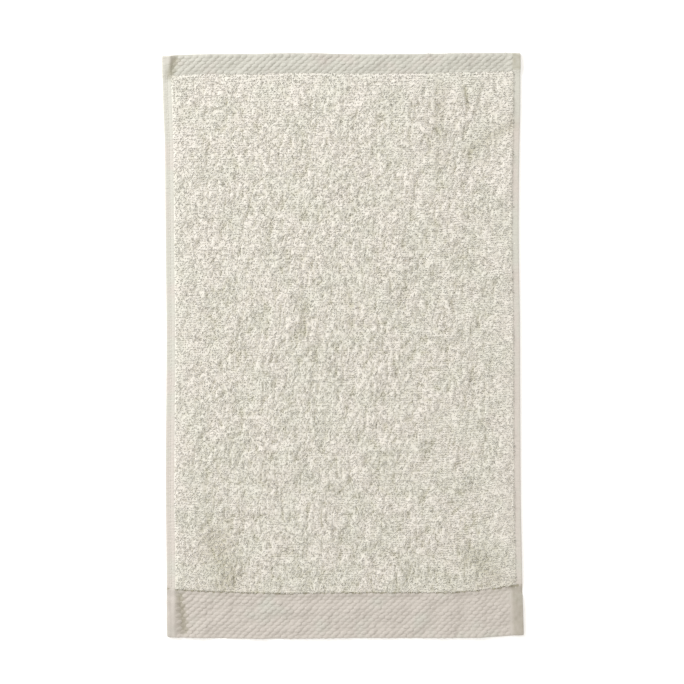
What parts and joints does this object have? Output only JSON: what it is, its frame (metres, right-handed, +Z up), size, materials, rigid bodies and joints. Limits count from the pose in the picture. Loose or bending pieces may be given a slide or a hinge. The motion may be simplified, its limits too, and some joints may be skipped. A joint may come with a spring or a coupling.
{
  "type": "hand towel",
  "caption": "White cotton terry hand towel lying flat, with a narrow and a wide end band of slanted ribs and turned, sewn side hems.",
  "frame": {"origin": "middle of the towel's footprint, on the surface that it lies on", "axes": "+X across the towel to its right-hand hem, +Y along it to the narrow end band, +Z up out of the upper face"},
  "size_m": [0.3088, 0.5, 0.0054],
  "materials": {
    "cotton": "off-white looped cotton pile, matt, with flat-woven end bands"
  },
  "bodies": {
    "root": {"towel": "cotton"}
  },
  "joints": []
}
